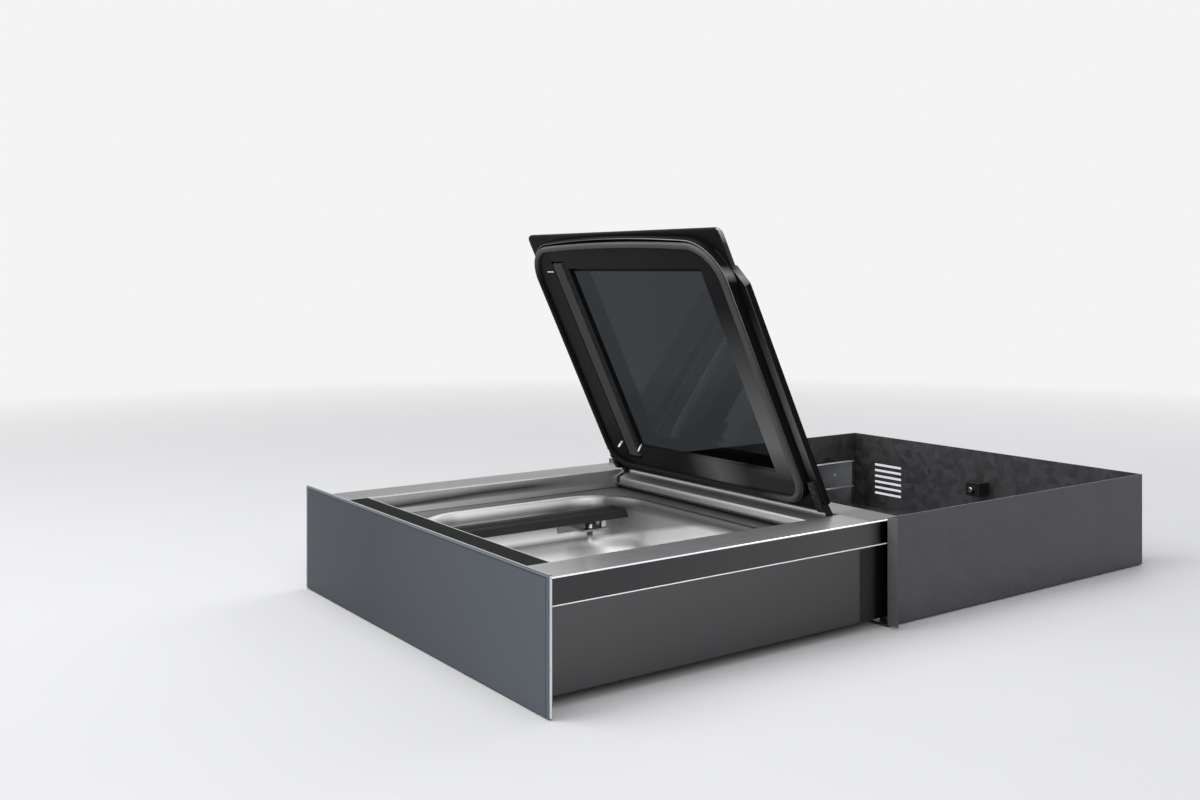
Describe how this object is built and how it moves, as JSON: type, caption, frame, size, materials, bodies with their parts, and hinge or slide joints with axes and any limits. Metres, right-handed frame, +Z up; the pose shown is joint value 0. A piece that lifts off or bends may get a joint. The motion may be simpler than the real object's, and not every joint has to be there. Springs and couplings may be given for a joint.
{
  "type": "vacuum sealing drawer",
  "caption": "Built-in vacuum sealing drawer: glass front, deep steel chamber with a lifting seal bar, and a hinged glass lid with a gasket, on runners in a casing",
  "frame": {"origin": "middle of the casing's underside, in the plane of the cabinet's front edge", "axes": "+X to the right as seen from the front, +Y into the cabinet, +Z up; the drawer opens towards -Y"},
  "size_m": [0.597, 1.038, 0.4761],
  "materials": {
    "casing_sheet": "dark grey zinc sheet, satin",
    "runner_steel": "bright zinc plated",
    "body_steel": "brushed along the length",
    "inner_steel": "plain sheet",
    "chamber_steel": "bright drawn stainless steel",
    "trim_steel": "polished",
    "front_glass": "back-painted grey-blue, glossy",
    "strip_glass": "black, glossy",
    "smoked_glass": "smoked, clear",
    "lid_plastic": "black, fine satin",
    "black_plastic": "black",
    "gasket_rubber": "dark grey silicone",
    "pad_rubber": "grey silicone",
    "foot_rubber": "black",
    "arm_steel": "black coated",
    "sliding_tape": "woven non-stick tape",
    "contact_brass": "plain",
    "cast_alloy": "cast",
    "motor_paint": "black, satin",
    "circuit_board": "solder mask",
    "winding": "taped winding"
  },
  "bodies": {
    "casing": {"casing_base": "casing_sheet", "casing_wall_left": "casing_sheet", "casing_wall_right": "casing_sheet", "casing_rear_wall": "casing_sheet", "runner_bracket_left": "runner_steel", "runner_bracket_right": "runner_steel", "runner_outer_left": "runner_steel", "runner_outer_right": "runner_steel", "latch_housing": "black_plastic"},
    "runner_middle": {"runner_middle_left": "runner_steel", "runner_middle_right": "runner_steel"},
    "latch": {"latch_plunger": "trim_steel"},
    "lid": {"lid_frame": "lid_plastic", "lid_glass": "smoked_glass", "lid_gasket": "gasket_rubber", "counter_bar": "pad_rubber", "counter_clips": "trim_steel", "lid_arm_left": "arm_steel", "lid_arm_right": "arm_steel", "lid_screws": "trim_steel"},
    "seal_bar": {"seal_bar": "black_plastic", "seal_wire": "sliding_tape", "lift_pins": "trim_steel"},
    "fan_rotor": {"fan_rotor": "black_plastic"},
    "drawer": {"runner_inner_left": "runner_steel", "runner_inner_right": "runner_steel", "front_glass": "front_glass", "front_carrier": "inner_steel", "chassis_pan": "inner_steel", "chassis_wall_left": "inner_steel", "chassis_wall_right": "inner_steel", "side_panel_left": "body_steel", "side_panel_right": "body_steel", "rear_panel": "inner_steel", "chamber_tub": "chamber_steel", "top_frame": "body_steel", "control_glass": "strip_glass", "control_board": "circuit_board", "rear_ledge": "chamber_steel", "hinge_bracket_left": "inner_steel", "hinge_bracket_right": "inner_steel", "hinge_pins": "trim_steel", "seal_bar_supports": "chamber_steel", "seal_contacts": "contact_brass", "suction_port": "cast_alloy", "suction_hose": "foot_rubber", "valve_block": "cast_alloy", "valve_coils": "black_plastic", "vacuum_pump": "cast_alloy", "pump_cover": "cast_alloy", "pump_motor": "motor_paint", "pump_feet": "foot_rubber", "transformer": "winding", "power_board": "circuit_board", "fan_frame": "black_plastic", "mains_inlet": "black_plastic"}
  },
  "joints": [
    {"name": "drawer_slide", "type": "slide", "parent": "casing", "child": "drawer", "axis": [0, 1, 0], "range_m": [0, 0.478]},
    {"name": "runner_slide", "type": "slide", "parent": "casing", "child": "runner_middle", "axis": [0, 1, 0], "range_m": [0, 0.239]},
    {"name": "lid_hinge", "type": "hinge", "parent": "drawer", "child": "lid", "pos_m": [0, -0.03225, 0.114], "axis": [-1, 0, 0], "range_deg": [-64, 0]},
    {"name": "seal_bar_lift", "type": "slide", "parent": "drawer", "child": "seal_bar", "axis": [0, 0, 1], "range_m": [0, 0.0125]},
    {"name": "latch_push", "type": "slide", "parent": "casing", "child": "latch", "axis": [0, 1, 0], "range_m": [0, 0.004], "stiffness_N_per_m": 200},
    {"name": "fan_spin", "type": "hinge", "parent": "drawer", "child": "fan_rotor", "pos_m": [-0.2, 0.02, 0.054], "axis": [0, 1, 0], "continuous": true}
  ],
  "couplings": [
    {"joint": "runner_slide", "follows": "drawer_slide", "ratio": 0.5}
  ]
}
